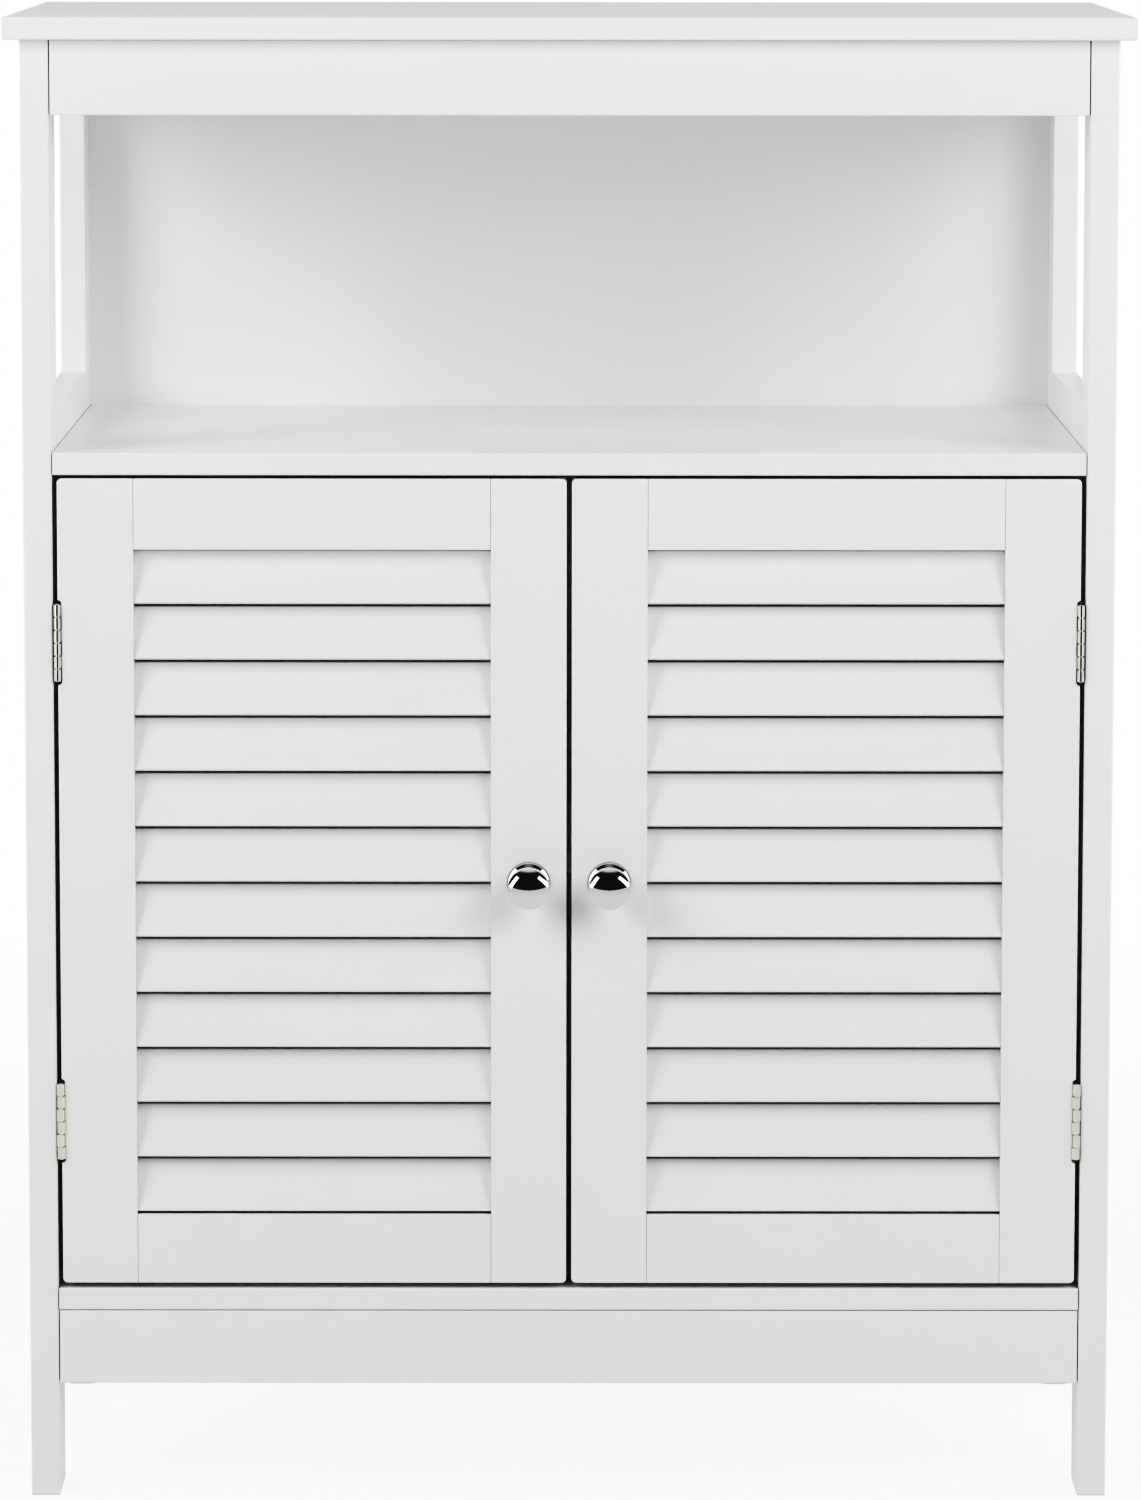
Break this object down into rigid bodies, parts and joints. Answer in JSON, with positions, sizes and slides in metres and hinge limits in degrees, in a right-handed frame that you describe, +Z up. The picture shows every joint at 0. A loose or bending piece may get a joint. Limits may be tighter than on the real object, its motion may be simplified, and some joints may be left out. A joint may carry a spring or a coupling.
{
  "type": "louvred door cabinet",
  "caption": "White free-standing cabinet with an open bay below the top board and a cupboard closed by louvred doors with round chrome knobs.",
  "frame": {"origin": "on the floor, at the centre of the footprint of the whole object's box, knobs included", "axes": "+X to the right seen from the front, +Y from the door side to the back, +Z up"},
  "size_m": [0.6, 0.315, 0.8],
  "materials": {
    "white_paint": "satin white paint on fibreboard",
    "white_hardboard": "smooth white-faced hardboard",
    "chrome": "polished",
    "nickel": "bright nickel plate",
    "zinc_steel": "zinc plated",
    "cam_zinc": "die-cast, dull",
    "beech": "bare beech",
    "white_plastic": "moulded",
    "magnet": "dull ferrite with steel poles"
  },
  "bodies": {
    "cabinet": {"back_panel": "white_hardboard", "back_panel_screws": "zinc_steel", "bottom_board": "white_paint", "cam_bolts": "zinc_steel", "cam_locks": "cam_zinc", "catch_housings": "white_plastic", "catch_magnets": "magnet", "catch_screws": "zinc_steel", "fixed_shelf": "white_paint", "front_apron": "white_paint", "front_leg_left": "white_paint", "front_leg_right": "white_paint", "hinge_leg_screws": "zinc_steel", "hinge_pins": "nickel", "inner_shelf": "white_paint", "left_lower_hinge_leg_leaf": "nickel", "left_upper_hinge_leg_leaf": "nickel", "leg_dowels": "beech", "plinth_rail": "white_paint", "rail_dowels": "beech", "rear_leg_left": "white_paint", "rear_leg_right": "white_paint", "right_lower_hinge_leg_leaf": "nickel", "right_upper_hinge_leg_leaf": "nickel", "shelf_pins": "nickel", "side_dowels": "beech", "side_panel_left": "white_paint", "side_panel_right": "white_paint", "top_board": "white_paint", "top_side_rail_left": "white_paint", "top_side_rail_right": "white_paint"},
    "left_door": {"left_bottom_rail": "white_paint", "left_hinge_door_screws": "zinc_steel", "left_hinge_stile": "white_paint", "left_knob": "chrome", "left_knob_screw": "zinc_steel", "left_louvres": "white_paint", "left_lower_hinge_door_leaf": "nickel", "left_meeting_stile": "white_paint", "left_strike_plate": "nickel", "left_strike_screws": "zinc_steel", "left_top_rail": "white_paint", "left_upper_hinge_door_leaf": "nickel"},
    "right_door": {"right_bottom_rail": "white_paint", "right_hinge_door_screws": "zinc_steel", "right_hinge_stile": "white_paint", "right_knob": "chrome", "right_knob_screw": "zinc_steel", "right_louvres": "white_paint", "right_lower_hinge_door_leaf": "nickel", "right_meeting_stile": "white_paint", "right_strike_plate": "nickel", "right_strike_screws": "zinc_steel", "right_top_rail": "white_paint", "right_upper_hinge_door_leaf": "nickel"}
  },
  "joints": [
    {"name": "left_door_hinge", "type": "hinge", "parent": "cabinet", "child": "left_door", "pos_m": [-0.27365, -0.1348, 0.3364], "axis": [0, 0, -1], "range_deg": [0, 170]},
    {"name": "right_door_hinge", "type": "hinge", "parent": "cabinet", "child": "right_door", "pos_m": [0.27365, -0.1348, 0.3364], "axis": [0, 0, 1], "range_deg": [0, 170]}
  ]
}
